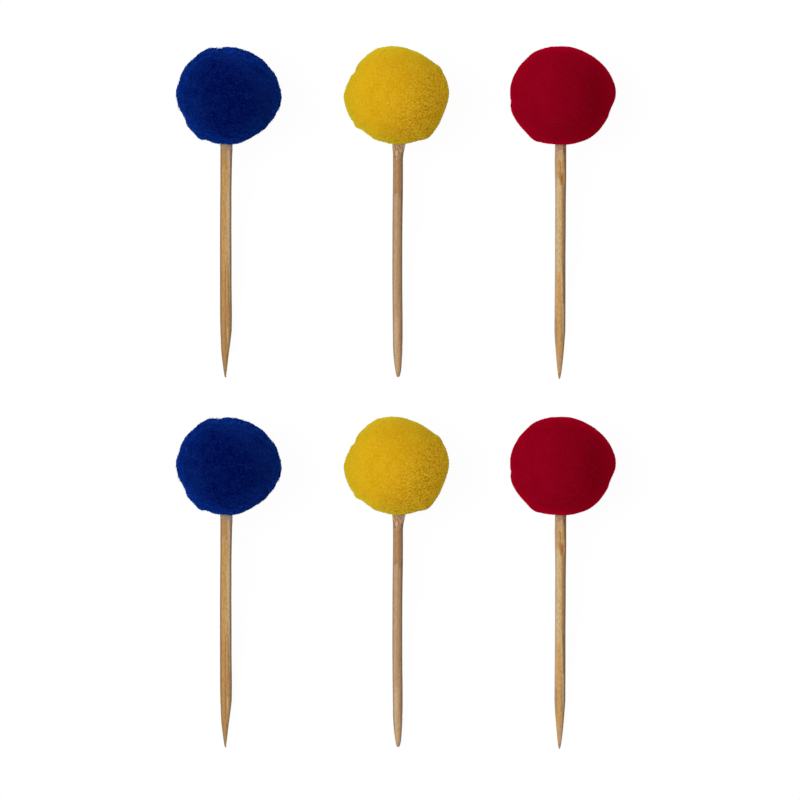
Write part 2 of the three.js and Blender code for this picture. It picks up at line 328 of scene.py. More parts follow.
# A material or world with an empty node tree and its output, and short ways to add and join nodes.
# Its ramp and tint take colours as they are read off a screen.
class Recipe:
    def __init__(self, owner, output="ShaderNodeOutputMaterial"):
        owner.use_nodes = True
        self.owner, self.tree = owner, owner.node_tree
        self.tree.nodes.clear()
        self.output, self.colours = self.add(output), None

    def add(self, kind, sockets=None, **settings):
        node = self.tree.nodes.new(kind)
        for key, value in settings.items():
            setattr(node, key, value)
        for key, value in (sockets or {}).items():
            if isinstance(value, bpy.types.NodeSocket):
                self.tree.links.new(value, node.inputs[key])
            else:
                node.inputs[key].default_value = value
        return node

    def noise(self, place, scale, detail=2.0, roughness=0.5, distortion=0.0):
        sockets = {"Vector": place, "Scale": scale, "Detail": detail, "Roughness": roughness,
                   "Distortion": distortion}
        return self.add("ShaderNodeTexNoise", sockets).outputs["Fac"]

    def ramp(self, factor, places, colours):
        node = self.add("ShaderNodeValToRGB", {"Fac": factor})
        elements = node.color_ramp.elements
        while len(elements) < len(places):
            elements.new(1.0)
        for element, place, colour in zip(elements, places, colours):
            element.position = place
            element.color = shade(*colour)
        return node.outputs["Color"]

    def spread(self, value, low, high, bottom=0.0, top=1.0, steps="SMOOTHSTEP"):
        sockets = {"Value": value, "From Min": low, "From Max": high, "To Min": bottom, "To Max": top}
        return self.add("ShaderNodeMapRange", sockets, interpolation_type=steps).outputs["Result"]

    def maths(self, operation, first, second):
        return self.add("ShaderNodeMath", {0: first, 1: second}, operation=operation).outputs[0]

    plus = functools.partialmethod(maths, "ADD")
    minus = functools.partialmethod(maths, "SUBTRACT")
    times = functools.partialmethod(maths, "MULTIPLY")

    def mix(self, factor, first, second, blend="MIX"):
        sockets = {"Factor": factor, 6: first, 7: second}
        return self.add("ShaderNodeMix", sockets, data_type="RGBA", blend_type=blend).outputs[2]

    # moves the recipe's colours towards another one
    def tint(self, factor, towards):
        self.colours = self.mix(factor, self.colours, shade(*towards))

    def mapped(self, place, scale=(1, 1, 1), shift=(0, 0, 0)):
        sockets = {"Vector": place, "Location": shift, "Scale": scale}
        return self.add("ShaderNodeMapping", sockets).outputs[0]

    # how far a place is along a way
    def along(self, place, way):
        return self.add("ShaderNodeVectorMath", {0: place, 1: way}, operation="DOT_PRODUCT").outputs["Value"]

    def attribute(self, name, output):
        return self.add("ShaderNodeAttribute", attribute_name=name).outputs[output]

    def finish(self, surface):
        self.tree.links.new(surface, self.output.inputs["Surface"])
        return self.owner

    # the material with its shader, and with look's bump where a height is given
    def coat(self, sockets, look=None, height=None):
        if height is not None:
            bump = {"Height": height, "Strength": look["bump"], "Distance": look["bumpDepth"]}
            sockets["Normal"] = self.add("ShaderNodeBump", bump).outputs[0]
        return self.finish(self.add("ShaderNodeBsdfPrincipled", sockets).outputs[0])


def newRecipe(name):
    return Recipe(bpy.data.materials.new(name))


# The yarn's colours and how they vary over a ball. A range or ramp is of the values of a noise about 0.5.
# heightShare moves the creases of the pile towards the darker tones, a painted shade.
# Patches are wide and faint, curls are thin winding lines of lighter yarn, grain is as fine as the yarn's
# ends, and spots are shifts of hue. Speckle is dark and light flecks, partly the yarn's own and partly
# painted shade between the tufts, so it grows away from the lamp: along speckleWay, given as round from +X,
# over speckleSpan and from the first to the second speckleShare. On the red ball its tones are darker than
# the yarn's, a painted shade on the ball's right side.
# A side is painted light and shade: it lightens or darkens one side of the ball, a rim or the crown as the
# light falls there, and is (round from +X, up from the table, how far out along that way it starts and is
# full, colour, strength). The stain is a broken rim of another colour round the neck.
yarnLook = {
    "roughness": 0.95, "sheenRoughness": 0.45, "bumpDepth": 0.0002, "bumpFineness": 2, "heightShare": 0.2,
    "ramp": (0.3, 0.5, 0.7), "patchRange": (0.35, 0.6), "paintedLightLeast": 0.7, "curlRange": (0.015, 0.07),
    "spotRange": (0.52, 0.68), "spotShift": 40, "speckleFineness": 1.15,
    "speckleRanges": [(0.5, 0.64, 0, 1), (0.36, 0.5, 1, 0)],
    "stainRange": (0.5, 0.58), "stainSpan": (9.4, 12),
    "blue": {
        "tones": [(0, 0, 61), (0, 6, 74), (14, 39, 105)], "patchSize": 5, "grainSize": 0.8,
        "patchShare": 0.42, "curlSize": 1.7, "curl": (15, 41, 105), "curlShare": 0.45,
        "cool": (0, 15, 80), "warm": (6, 9, 73), "spotSize": 0.6, "spotShare": 0.35,
        "sheen": 0.85, "sheenTint": (22, 90, 236), "bump": 0.12,
        "speckleWay": -30, "speckleSpan": (-20, 10), "speckleShare": (0.25, 0.4),
        "speckles": [(0, 0, 56), (4, 20, 84)],
        "sides": [
            (180, 0, 4, 11, (6, 37, 106), 0.55), (315, 0, 8, 12.5, (12, 36, 104), 0.6),
            (90, 0, 8.5, 13, (11, 23, 64), 0.75), (270, 0, 9, 12.5, (2, 6, 58), 0.4),
            (45, 0, 4, 9, (12, 38, 114), 0.65), (0, 0, 9.5, 13.5, (14, 34, 104), 0.5),
            (225, 0, 9.5, 13, (10, 38, 110), 0.4),
        ],
        "stain": (0, 10, 60), "stainShare": 0.4,
    },
    "yellow": {
        "tones": [(197, 147, 2), (211, 162, 14), (225, 178, 42)], "patchSize": 6,
        "grainSize": 0.65, "patchShare": 0.35, "curlSize": 1.4, "curl": (224, 177, 40), "curlShare": 0.35,
        "cool": (202, 167, 8), "warm": (218, 149, 34), "spotSize": 1.3, "spotShare": 0.35,
        "sheen": 0.95, "sheenTint": (208, 222, 50), "bump": 0.1,
        "speckleWay": -30, "speckleSpan": (-2, 11), "speckleShare": (0.08, 0.85),
        "speckles": [(170, 110, 2), (231, 186, 58)],
        "sides": [
            (180, 0, 6, 13, (219, 176, 22), 0.9), (0, 0, 8.5, 13.5, (242, 178, 20), 0.95),
            (270, 0, 5, 12, (207, 150, 16), 0.95), (90, 0, 8, 13, (219, 162, 22), 0.8),
            (135, 0, 7, 12, (221, 173, 22), 0.8), (225, 0, 7, 12, (221, 174, 22), 0.8),
            (315, 0, 8, 12, (229, 166, 16), 0.8), (0, 0, 11.8, 13.3, (255, 196, 24), 0.7),
        ],
        "stain": (176, 98, 14), "stainShare": 0.85,
    },
    "red": {
        "tones": [(131, 0, 17), (136, 2, 26), (141, 6, 35)], "patchSize": 6, "grainSize": 0.8,
        "patchShare": 0.6, "curlSize": 1.8, "curl": (142, 6, 34), "curlShare": 0.15,
        "cool": (132, 4, 27), "warm": (139, 0, 22), "spotSize": 0.6, "spotShare": 0.3,
        "sheen": 1.0, "sheenTint": (202, 2, 38), "bump": 0.03,
        "speckleWay": -15, "speckleSpan": (-7, 9), "speckleShare": (0.1, 0.75),
        "speckles": [(120, 0, 14), (134, 5, 27)],
        "sides": [
            (0, 0, -5, 1, (119, 0, 19), 0.2), (0, 40, 11.6, 13.6, (100, 0, 12), 0.5),
            (90, 0, 9, 12.5, (126, 2, 22), 0.4), (270, 0, 8, 12, (123, 2, 22), 0.5),
            (0, 90, 12.8, 14.2, (123, 0, 20), 0.35), (0, 0, 9.5, 13.5, (150, 3, 28), 0.6),
        ],
        "stain": (116, 2, 22), "stainShare": 0.4,
    },
}


def yarnShader(colour, base):
    look = yarnLook[colour]
    return {"Base Color": base, "Roughness": yarnLook["roughness"], "Specular IOR Level": 0.0,
            "Sheen Weight": look["sheen"], "Sheen Roughness": yarnLook["sheenRoughness"],
            "Sheen Tint": shade(*look["sheenTint"])}


def yarnMaterial(colour):
    look = {**yarnLook, **yarnLook[colour]}
    recipe = newRecipe(f"{colour}Yarn")
    place = recipe.attribute("ballPlace", "Vector")
    height = recipe.attribute("pileHeight", "Fac")
    patches = recipe.noise(place, 1 / look["patchSize"], detail=3, distortion=0.6)
    grain = recipe.noise(place, 1 / look["grainSize"], detail=3, roughness=0.6, distortion=0.8)
    share = recipe.times(patches, look["patchShare"])
    share = recipe.plus(share, recipe.times(grain, 1 - look["patchShare"]))
    # painted shade: lower points of the pile, in its creases, take the darker tones
    share = recipe.plus(share, recipe.times(recipe.minus(height, 0.5), look["heightShare"]))
    recipe.colours = recipe.ramp(share, look["ramp"], look["tones"])
    broken = recipe.spread(patches, *look["patchRange"], look["paintedLightLeast"], 1.0)
    # the sides: painted light and shade on the ball's sides, rims and crown, broken up by the patches
    for around, up, start, full, tint, strength in look["sides"]:
        out = recipe.spread(recipe.along(place, wayFrom(around, up)), start, full, 0.0, strength)
        recipe.tint(recipe.times(out, broken), tint)
    # a winding line runs where a bent noise passes its middle value
    winding = recipe.noise(place, 1 / look["curlSize"], detail=1, distortion=2.2)
    away = recipe.maths("ABSOLUTE", recipe.minus(winding, 0.5), 0)
    curls = recipe.spread(away, *look["curlRange"], 1.0, 0.0)
    recipe.tint(recipe.times(curls, look["curlShare"]), look["curl"])
    for shift, tint in ((0, "cool"), (look["spotShift"], "warm")):
        spots = recipe.noise(recipe.mapped(place, shift=(shift, shift, 0)), 1 / look["spotSize"], detail=1)
        recipe.tint(recipe.spread(spots, *look["spotRange"], 0.0, look["spotShare"]), look[tint])
    # the speckle: painted shade between the tufts with lighter flecks among it, growing away from the lamp
    out = recipe.along(place, wayFrom(look["speckleWay"]))
    edge = recipe.spread(out, *look["speckleSpan"], *look["speckleShare"])
    fineness = look["speckleFineness"] / look["grainSize"]
    speckle = recipe.noise(place, fineness, detail=2, roughness=0.6, distortion=0.5)
    for bounds, tint in zip(look["speckleRanges"], look["speckles"]):
        recipe.tint(recipe.times(edge, recipe.spread(speckle, *bounds)), tint)
    down = recipe.along(place, stickAxes(colour)[2].tolist())
    rim = recipe.spread(down, *look["stainSpan"], 0.0, look["stainShare"])
    stained = recipe.spread(recipe.noise(place, 1.0), *look["stainRange"])
    recipe.tint(recipe.times(stained, rim), look["stain"])
    ends = recipe.noise(place, look["bumpFineness"] / look["grainSize"], detail=3, roughness=0.6)
    return recipe.coat(yarnShader(colour, recipe.colours), look, ends)


# The pile of cut yarn: how finely it is made, and what the trimming and the yarn's ends leave on it.
# Tufts are the rounded ends of the yarn, waves are the unevenness of the cut, and a fold is (round from +X,
# rise, the angle in which it fades) on the ball's side.
pompomLook = {
    "columns": 380,
    "rows": 190,
    "pole": 1,  # the angle of the first row from the crown
    "crownRise": 1.0002,
    "opening": 0.14,  # the room between the glue and the yarn's edge at the neck
    "lean": (-0.3, 0.95),  # the cosines between which the rows come to lean towards the stick
    "lipDepth": 0.7,
    "seatDepth": 1.2,
    "foldFade": 40,
    "tuftShake": 0.9,
    "creaseDepth": 0.6,
    "grainSize": 0.8,
    "heightShares": (0.4, 0.12),  # how much of the height in the pile is the tufts', and how much the grain's
    "slices": 40,  # the tufts are looked for in so many parts of the ball, one by one
    "blue": {
        "inset": 0.1, "waveSize": 3.4, "waveHeight": 0.06, "tuftCount": 2600, "tuftHeight": 0.09,
        "grainHeight": 0.03,
        "folds": [
            (355, 0.33, 6), (9, 0.23, 7), (22, 0.38, 5), (52, -0.1, 6), (66, 0.15, 6), (80, 0.35, 4),
            (89, 0.12, 4), (100, -0.35, 4), (113, 0.24, 4), (123, -0.1, 4), (132, -0.35, 4), (163, -0.2, 4),
            (185, -0.38, 5), (200, -0.4, 9), (209, -0.25, 4.5), (226, -0.2, 3.5), (234, 0.15, 5),
            (245, -0.52, 5), (268, -0.22, 6), (327, -0.35, 5), (340, -0.2, 4),
        ],
    },
    "yellow": {
        "inset": 0.1, "waveSize": 4, "waveHeight": 0.02, "tuftCount": 5200, "tuftHeight": 0.05,
        "grainHeight": 0.02,
        "folds": [
            (33, 0.3, 5), (72, -0.25, 8), (115, 0.25, 6), (125, 0.12, 4), (132, -0.12, 4), (151, -0.45, 3.5),
            (163, -0.3, 5), (172, -0.12, 5), (180, 0.14, 5), (217.3, 0.48, 3.4), (226, -0.1, 3),
            (243, 0.36, 6), (304, 0.42, 6), (318, -0.18, 5), (351, -0.2, 9),
        ],
    },
    "red": {
        "inset": 0.03, "waveSize": 6, "waveHeight": 0.02, "tuftCount": 5200, "tuftHeight": 0.03,
        "grainHeight": 0.01,
        "folds": [
            (28, 0.16, 11), (50, 0.2, 10), (79, 0.08, 5), (102, 0.14, 5), (135, -0.15, 9), (152, -0.12, 5),
            (163, -0.16, 6), (186, -0.25, 3), (199, 0.1, 4), (246, -0.15, 4), (268, -0.12, 6), (302, 0.12, 8),
            (325, -0.22, 6), (332, -0.1, 3), (341, -0.13, 5), (356, 0.13, 6),
        ],
    },
}


# How proud the yarn's rounded ends stand along each direction: each end is a dome about the nearest of
# many evenly spread and slightly shaken directions, so the domes meet in creases. On a ball of radius 1, a
# dome's radius is the root of 4 over their count.
def tuftRise(ways, count, seed):
    random = np.random.default_rng(seed)
    shake = random.normal(scale=pompomLook["tuftShake"] / math.sqrt(count), size=(count, 3))
    ends = unit(evenDirections(count) + shake).T.astype(np.float32)
    slices = np.array_split(ways.reshape(-1, 3).astype(np.float32), pompomLook["slices"])
    nearest = np.concatenate([(part @ ends).max(1) for part in slices])
    away = np.arccos(np.clip(nearest, -1, 1)) / math.sqrt(4 / count)
    return np.clip(1 - away**2, -pompomLook["creaseDepth"], 1).reshape(ways.shape[:-1])


# The yarn's skin about the ball's middle along each direction, and how high each point is in the pile, from
# 0 in the creases to 1 on the tufts.
def pileSkin(ways, colour):
    look, seed = pompomLook[colour], colourNames.index(colour) * 10
    plain = ballReach(ways, ballShapes[colour]) + foldRise(ways, look["folds"]) - look["inset"]
    at = ways * plain[..., None]
    tufts = tuftRise(ways, look["tuftCount"], seed)
    grain = waveNoise(at, pompomLook["grainSize"], seed + 1)
    reach = plain + look["waveHeight"] * waveNoise(at, look["waveSize"], seed + 2)
    reach = reach + look["tuftHeight"] * (tufts - 0.5) + look["grainHeight"] * grain
    tuftShare, grainShare = pompomLook["heightShares"]
    return ways * reach[..., None], np.clip(0.5 + tuftShare * (tufts - 0.5) + grainShare * grain, 0, 1)


# How far the glue stands off the stick's section where it leaves the yarn, at an angle round the stick.
def flareRise(colour, turn):
    return leftToRight(glueLook[colour]["flare"], turn)


# Directions round the stick's way out of the ball: columns turn about it, and rows go from the crown to the
# neck. Near the neck they lean over to where the stick is, so that the last row is a close ring round it.
def pileWays(colour, columns, rows):
    look, neck = pompomLook, neckOf(colour)
    across, up, along = stickAxes(colour)
    turn = fullTurn(columns)
    opening = neckReach(colour, turn) + flareRise(colour, turn) + look["opening"]
    first = math.pi - math.radians(look["pole"])
    share = np.linspace(0, 1, rows)[:, None]
    angle = (first + (np.arcsin(opening / neck) - first) * share)[..., None]
    side = across * np.cos(turn)[:, None] - up * np.sin(turn)[:, None]
    lean = shiftOf(colour) / neck * smoothStep(*look["lean"], np.cos(angle))
    return unit(along * np.cos(angle) + side * np.sin(angle) + lean), turn, opening


# A pompom is the pile's skin down to the neck, and from there the seat of the glue, the stick's hole, the
# room for the tie and the hole's end, as rings round the stick. Its underside is flat on the table.
@functools.cache
def pompomRings(colour):
    look, sizes, neck = pompomLook, topperSizes, neckOf(colour)
    ways, turn, opening = pileWays(colour, look["columns"], look["rows"])
    skin, height = pileSkin(ways, colour)
    fit, knot = sizes["fit"], sizes["knotThickness"]
    inner = sectionReach(colour, turn).max() + fit
    seat = inner + sizes["glueWall"] + fit
    seatEnd = neck - sizes["glueDepth"] - fit
    roomHalf, roomRadius = knot / 2 + fit, inner + knot + fit
    profile = [(neck - look["lipDepth"], opening), (neck - look["seatDepth"], seat), (seatEnd, seat),
               (seatEnd, inner), (roomHalf, inner), (roomHalf, roomRadius), (-roomHalf, roomRadius),
               (-roomHalf, inner), (endOf(colour) - fit, inner)]
    bore = np.array([
        np.stack([radius * np.cos(turn), -radius * np.sin(turn), np.full_like(turn, distance)], axis=-1)
        for distance, radius in profile
    ])
    rings = np.concatenate([skin, onStick(colour, bore)])
    rings[..., 2] = np.maximum(rings[..., 2], -restHeight(colour))
    return rings, np.concatenate([height, np.zeros(bore.shape[:2])])


def makePompom(colour, number, material):
    rings, height = pompomRings(colour)
    middle = ballMiddle(colour, number)
    crown = rings[0].mean(0) * pompomLook["crownRise"]
    hole = onStick(colour, np.array([0, 0, endOf(colour) - topperSizes["fit"]]))
    piece = skinOver(f"{colour}Pompom{number}", rings + middle, {"ballPlace": rings, "pileHeight": height},
                     (crown + middle, hole + middle))
    piece.data.materials.append(material)
    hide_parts(f"{colour}_pompom_{number}")
    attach(piece, f"{colour}_topper_{number}")


# The fuzz on a pompom: short curved ends of yarn that stand a little proud of the pile, but not within
# clearRadius of the stick at the neck. Round the ball's sides, where the way out of the ball rises or falls
# by less than sideRise, the share given in the table of them have the first and darkest tone, a painted shade
# that darkens the ball's outline seen from above.
fuzzLook = {
    "clearRadius": 2.9, "rootDepth": 0.08, "sideRise": 0.34, "lifts": (0.5, 1.5),
    "rings": (0, 0.4, 0.75, 1), "taper": (1, 0.9, 0.65),
    "blue": {
        "count": 6500, "length": (0.8, 1.5), "thickness": 0.12, "lift": 0.14, "curl": 0.45,
        "rimShadeShare": 0.8, "tones": [(0, 0, 56), (1, 13, 80), (13, 38, 102)],
    },
    "yellow": {
        "count": 5200, "length": (0.35, 0.7), "thickness": 0.1, "lift": 0.3, "curl": 0.3,
        "rimShadeShare": 0.3, "tones": [(194, 141, 8), (211, 162, 16), (223, 177, 42)],
    },
    "red": {
        "count": 6500, "length": (0.3, 0.6), "thickness": 0.09, "lift": 0.3, "curl": 0.3,
        "rimShadeShare": 0.9, "tones": [(112, 0, 15), (135, 1, 26), (140, 5, 33)],
    },
}


def fuzzMaterials(colour):
    tones = enumerate(fuzzLook[colour]["tones"])
    return [newRecipe(f"{colour}Fuzz{index}").coat(yarnShader(colour, shade(*tone))) for index, tone in tones]


# Each strand has three rings of three points and a tip. Its middle line starts under the skin, goes out along
# a way between straight out and along the skin, and curls to one side with the square of the distance.
@functools.cache
def fuzzPoints(colour):
    look = {**fuzzLook, **fuzzLook[colour]}
    random = np.random.default_rng(100 + colourNames.index(colour))
    ways = unit(random.normal(size=(look["count"], 3)))
    along = stickAxes(colour)[2]
    offset = ways - shiftOf(colour) / neckOf(colour)
    beside = np.linalg.norm(np.cross(offset, along), axis=1) * neckOf(colour) > look["clearRadius"]
    ways = ways[(offset @ along < 0) | beside]
    count = len(ways)
    skin, _ = pileSkin(ways, colour)
    sideways = unit(np.cross(ways, random.normal(size=(count, 3))))
    other = np.cross(ways, sideways)
    lift = look["lift"] * random.uniform(*look["lifts"], (count, 1))
    way = ways * lift + sideways * (1 - lift)
    length = random.uniform(*look["length"], (count, 1))
    root = skin - ways * look["rootDepth"]
    curl = look["curl"] * random.normal(size=(count, 1))
    *lines, tip = [root + way * length * share + other * curl * length * share**2 for share in look["rings"]]
    corner = np.arange(3) * 2 * math.pi / 3
    normal = unit(np.cross(way, other))
    around = other[:, None] * np.cos(corner)[:, None] + normal[:, None] * np.sin(corner)[:, None]
    sizes = look["thickness"] / 2 * np.array(look["taper"])
    rings = np.stack([line[:, None] + size * around for line, size in zip(lines, sizes)], axis=1)
    points = np.concatenate([rings.reshape(count, 9, 3), tip[:, None]], axis=1)
    points[..., 2] = np.maximum(points[..., 2], -restHeight(colour))
    tones = random.integers(0, len(look["tones"]), count)
    # painted shade: strands round the ball's sides take the darkest tone, which darkens its outline from
    # above
    tones[(np.abs(ways[:, 2]) < look["sideRise"]) & (random.random(count) < look["rimShadeShare"])] = 0
    return points, tones


def makeFuzz(colour, number, materials):
    points, tones = fuzzPoints(colour)
    # two bands of faces between the three rings, then three faces to the tip and one across the root
    pattern = []
    for ring in (0, 3):
        for side in range(3):
            after = (side + 1) % 3
            pattern.append((ring + side, ring + 3 + side, ring + 3 + after))
            pattern.append((ring + side, ring + 3 + after, ring + after))
    pattern = np.array(pattern + [(6, 9, 7), (7, 9, 8), (8, 9, 6), (0, 1, 2)])
    triangles = (np.arange(len(points))[:, None, None] * points.shape[1] + pattern).reshape(-1, 3)
    name = f"{colour}Fuzz{number}"
    mesh = bpy.data.meshes.new(name)
    vertices = (points.reshape(-1, 3) + ballMiddle(colour, number)) * metre
    mesh.from_pydata(vertices.tolist(), [], triangles.tolist())
    for material in materials:
        mesh.materials.append(material)
    mesh.polygons.foreach_set("material_index", np.repeat(tones, len(pattern)).astype(np.int32))
    piece = newObject(name, mesh)
    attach(piece, f"{colour}_topper_{number}")


# The sticks' shape and wood. Edges, trim and rises are the left side's and then the right side's. An edge is
# (colour, strength), painted light and shade along that side, where the stick's round section turns from the
# top; trim is taken off, and a rise is a low bell (its middle down the stick from the neck, its spread, its
# height). A streak is (from, to, its left and right edge where it starts, the same where it ends unless they
# stay, colour, strength), with from and to measured down the stick from the neck.
# Most streaks are the wood's own, but the darkest ones down the sticks' right sides, away from the lamp, are
# painted shade, and the darker ones at the neck are partly painted shadow under the yarn.
stickLook = {
    "sides": 48,
    "rings": 240,
    "ringSpacing": 1.35,  # above 1, the rings lie closer towards the tip
    "thinnest": 0.06,
    "tipRise": 0.2,
    "groove": 0.012, "grooveSize": 0.9, "grooveLevel": 0.8, "grooveCircle": 3, "grooveStretch": 0.03,
    "grooveFade": 6,  # how far back from the tip the grooves fade out
    "ramp": (0.32, 0.5, 0.68), "grainStretch": 0.04, "grainFineness": 2.6, "grainShare": 0.6,
    "fibreFineness": 9, "dashStretch": 0.3, "dashFineness": 3.4, "dashRange": (0.25, 0.5), "dashLeast": 0.7,
    "wanderScale": (0.5, 0.5, 0.12), "wander": 0.22, "sideWander": 0.15,
    "shake": 0.15, "mostShake": 3,  # the shake of a streak's ends is a share of its length, up to the most
    "fade": 1.2, "softness": 0.1,
    "paintedEdgeRanges": [(-0.77, -0.63, 1, 0), (0.66, 0.8, 0, 1)], "markRamp": (0.32, 0.6),
    "roughness": 0.65, "specular": 0.2, "bump": 0.25, "bumpDepth": 0.00015,
    "blue": {
        "tones": [(184, 137, 74), (197, 151, 89), (207, 165, 105)], "marks": (222, 219, 212),
        "edges": [((152, 119, 76), 1.0), ((148, 126, 102), 0.9)],
        "bow": -0.06, "trim": (0.09, 0.0),
        "rises": [
            [(4, 3, -0.04), (11.5, 4.5, -0.06), (55, 2.8, -0.095), (60, 4, 0.15), (66, 5, 0.09)],
            [(0, 2.5, 0.07), (2, 7.5, 0.15), (19, 3, 0.04), (33, 8, 0.03), (49, 6, 0.14), (62.5, 4.5, -0.19),
             (68, 3, -0.08)],
        ],
        "streaks": [
            (36, 90, -2, 2, (185, 138, 81), 0.8), (-1, 15, 0.2, 0.75, 0.2, 0.62, (196, 158, 106), 0.7),
            (12, 31, 0.2, 0.62, 0.2, 0.55, (209, 176, 128), 0.9),
            (27, 47, -0.05, 0.35, 0, 0.35, (200, 160, 106), 0.8),
            (-1, 17, 0.82, 1.25, 0.62, 1.02, (212, 181, 144), 0.95),
            (14, 37, 0.62, 1.02, 0.55, 0.97, (213, 182, 141), 0.95), (34, 48, 0.6, 0.95, (184, 142, 94), 0.8),
            (14, 46, 1, 1.3, 0.95, 1.25, (194, 170, 136), 0.85),
            (-3, 6, -0.6, -0.25, -0.5, -0.2, (200, 172, 116), 0.65), (-1, 8, 0.02, 0.3, (166, 130, 80), 0.65),
            (-3, 9, 0.6, 1, 0.6, 0.9, (204, 166, 136), 0.6),
            (-3, 4, 0.75, 1.15, 0.75, 1.1, (198, 152, 134), 0.8),
            (-1, 5, 0.48, 0.8, 0.48, 0.78, (214, 174, 142), 0.8), (-3, 6, -1.25, 0.25, (180, 138, 86), 0.55),
            (27, 38, 0.9, 1.2, (206, 176, 138), 0.8), (36, 49, -0.85, -0.5, (198, 148, 84), 0.75),
            (34, 60, -0.28, 0.02, (156, 112, 56), 0.7), (46, 59, 0.6, 0.95, 0.55, 0.95, (190, 146, 98), 0.7),
            (44, 56, 0.95, 1.25, (166, 126, 86), 0.6), (52, 57.5, 0.3, 0.6, (216, 184, 138), 0.85),
            (56, 62, 0.75, 0.95, 0.55, 0.75, (200, 174, 134), 0.6),
            (60, 90, 0, 2, -0.1, 2, (146, 116, 78), 0.75), (64, 90, -2, 2, (150, 126, 92), 0.6),
        ],
    },
    "yellow": {
        "tones": [(182, 143, 104), (195, 158, 121), (205, 171, 134)], "marks": (228, 225, 219),
        "edges": [((158, 132, 107), 0.9), ((126, 96, 70), 0.4)],
        "bow": 0, "trim": (0.1, 0.05),
        "rises": [
            [(9, 5, -0.05), (24, 6, 0.03), (40, 12, 0.055), (57, 3, -0.04), (62, 3, 0.1), (67, 3, 0.07)],
            [(12, 9, 0.09), (51, 4, 0.03), (59, 1.8, -0.08), (65.5, 2.5, 0.15)],
        ],
        "streaks": [
            (3.5, 15, -1, 0.1, (176, 128, 82), 0.8), (3, 16, 0.1, 1, (154, 107, 60), 0.85),
            (-1, 70, -0.15, 0.45, -0.1, 0.5, (184, 144, 104), 0.4),
            (-1, 70, 0.45, 1.8, 0.6, 1.8, (168, 132, 100), 0.75), (17, 50, -1, 0.95, (172, 130, 90), 0.3),
            (26, 46, -0.2, 0.65, (174, 134, 96), 0.4), (24, 64, 0.66, 0.98, (182, 148, 116), 0.75),
            (12, 29, 1, 1.8, (106, 78, 54), 0.8), (26, 58, 1, 1.8, (134, 106, 84), 0.7),
            (12.2, 14.5, -0.95, -0.55, -0.95, -0.6, (152, 112, 78), 0.6),
            (40.5, 45, 0.15, 0.5, (180, 122, 84), 0.6), (18, 34, -0.75, -0.45, (204, 168, 132), 0.5),
            (36, 60, -0.95, -0.7, (208, 174, 138), 0.5),
            (50, 90, -0.9, -0.05, -0.9, 0.2, (206, 172, 130), 0.5),
            (57, 90, 0.8, 1.3, 0.7, 1.3, (186, 156, 126), 0.6),
            (51, 90, -1.8, -0.9, -1.8, -0.4, (204, 181, 153), 0.75),
            (58, 90, 0, 0.5, 0, 0.3, (204, 160, 118), 0.6), (65.5, 90, -2, 2, (166, 142, 116), 0.75),
        ],
    },
    "red": {
        "tones": [(188, 143, 84), (201, 157, 99), (211, 172, 120)], "marks": (220, 217, 208),
        "edges": [((184, 160, 126), 0.5), ((142, 116, 84), 0.9)],
        "bow": 0, "trim": (0.04, 0.05),
        "rises": [
            [(5, 6, 0.15), (57.5, 3, 0.05)],
            [(9, 5, 0.07), (33, 5, -0.035), (48, 5, 0.045), (60, 8, 0.05)],
        ],
        "streaks": [
            (-3, 10, -1.8, -0.85, (188, 154, 122), 0.7), (-3, 5, -0.85, 0.6, (206, 166, 124), 0.6),
            (9.3, 38, -1.25, -0.3, (212, 184, 142), 1),
            (11, 38, -0.3, 0.22, -0.3, 0.25, (214, 177, 125), 0.9),
            (11, 38, 0.5, 1.8, 0.42, 1.8, (162, 130, 90), 0.75), (20, 36, -0.95, -0.7, (200, 172, 126), 0.5),
            (36, 62, -0.65, -0.08, -0.6, -0.08, (209, 157, 91), 0.85),
            (34, 50, -1.3, -0.65, -1.25, -0.65, (203, 168, 120), 0.75),
            (49.5, 58, -1.8, -0.85, -1.8, -0.75, (160, 126, 84), 0.75),
            (33, 46, -0.1, 0.4, 0.5, 0.85, (217, 180, 130), 1),
            (45, 59, 0.45, 0.85, 1, 1.3, (202, 172, 134), 0.9),
            (47, 58, 0.2, 0.5, 0.45, 0.85, (176, 140, 94), 0.75),
            (34, 46.5, 0.62, 1.15, 0.8, 1.25, (134, 106, 74), 0.65),
            (39, 49, 1.1, 1.8, 1.2, 1.8, (118, 92, 66), 0.85),
            (3.8, 9.4, -0.4, -0.02, -0.25, 0.2, (184, 128, 62), 0.95),
            (7.6, 10.6, -0.75, 1, -0.3, 0.95, (186, 136, 80), 0.8),
            (8, 12.1, -0.15, 0.55, 0.05, 0.75, (172, 108, 48), 1),
            (0.8, 5, -0.1, 0.45, -0.1, 0.42, (204, 174, 126), 0.8),
            (3.6, 8.4, -0.02, 0.2, 0.28, 0.52, (222, 174, 114), 1),
            (4.5, 11, 0.75, 1.06, 0.8, 1.1, (208, 170, 126), 0.8),
            (-3, 7.5, 0.98, 1.8, 1.02, 1.8, (112, 82, 54), 0.85),
            (10, 15, 0.3, 0.85, 0.35, 0.9, (180, 138, 88), 0.7),
            (60, 66, -0.6, 0.6, -0.3, 0.3, (200, 158, 124), 0.6), (65.5, 90, -2, 2, (160, 136, 112), 0.7),
            (-3, 1.6, -1.2, 0.6, (198, 150, 118), 0.6), (-3, 3.2, 0.45, 1.9, 0.75, 1.9, (142, 72, 58), 0.8),
        ],
    },
}


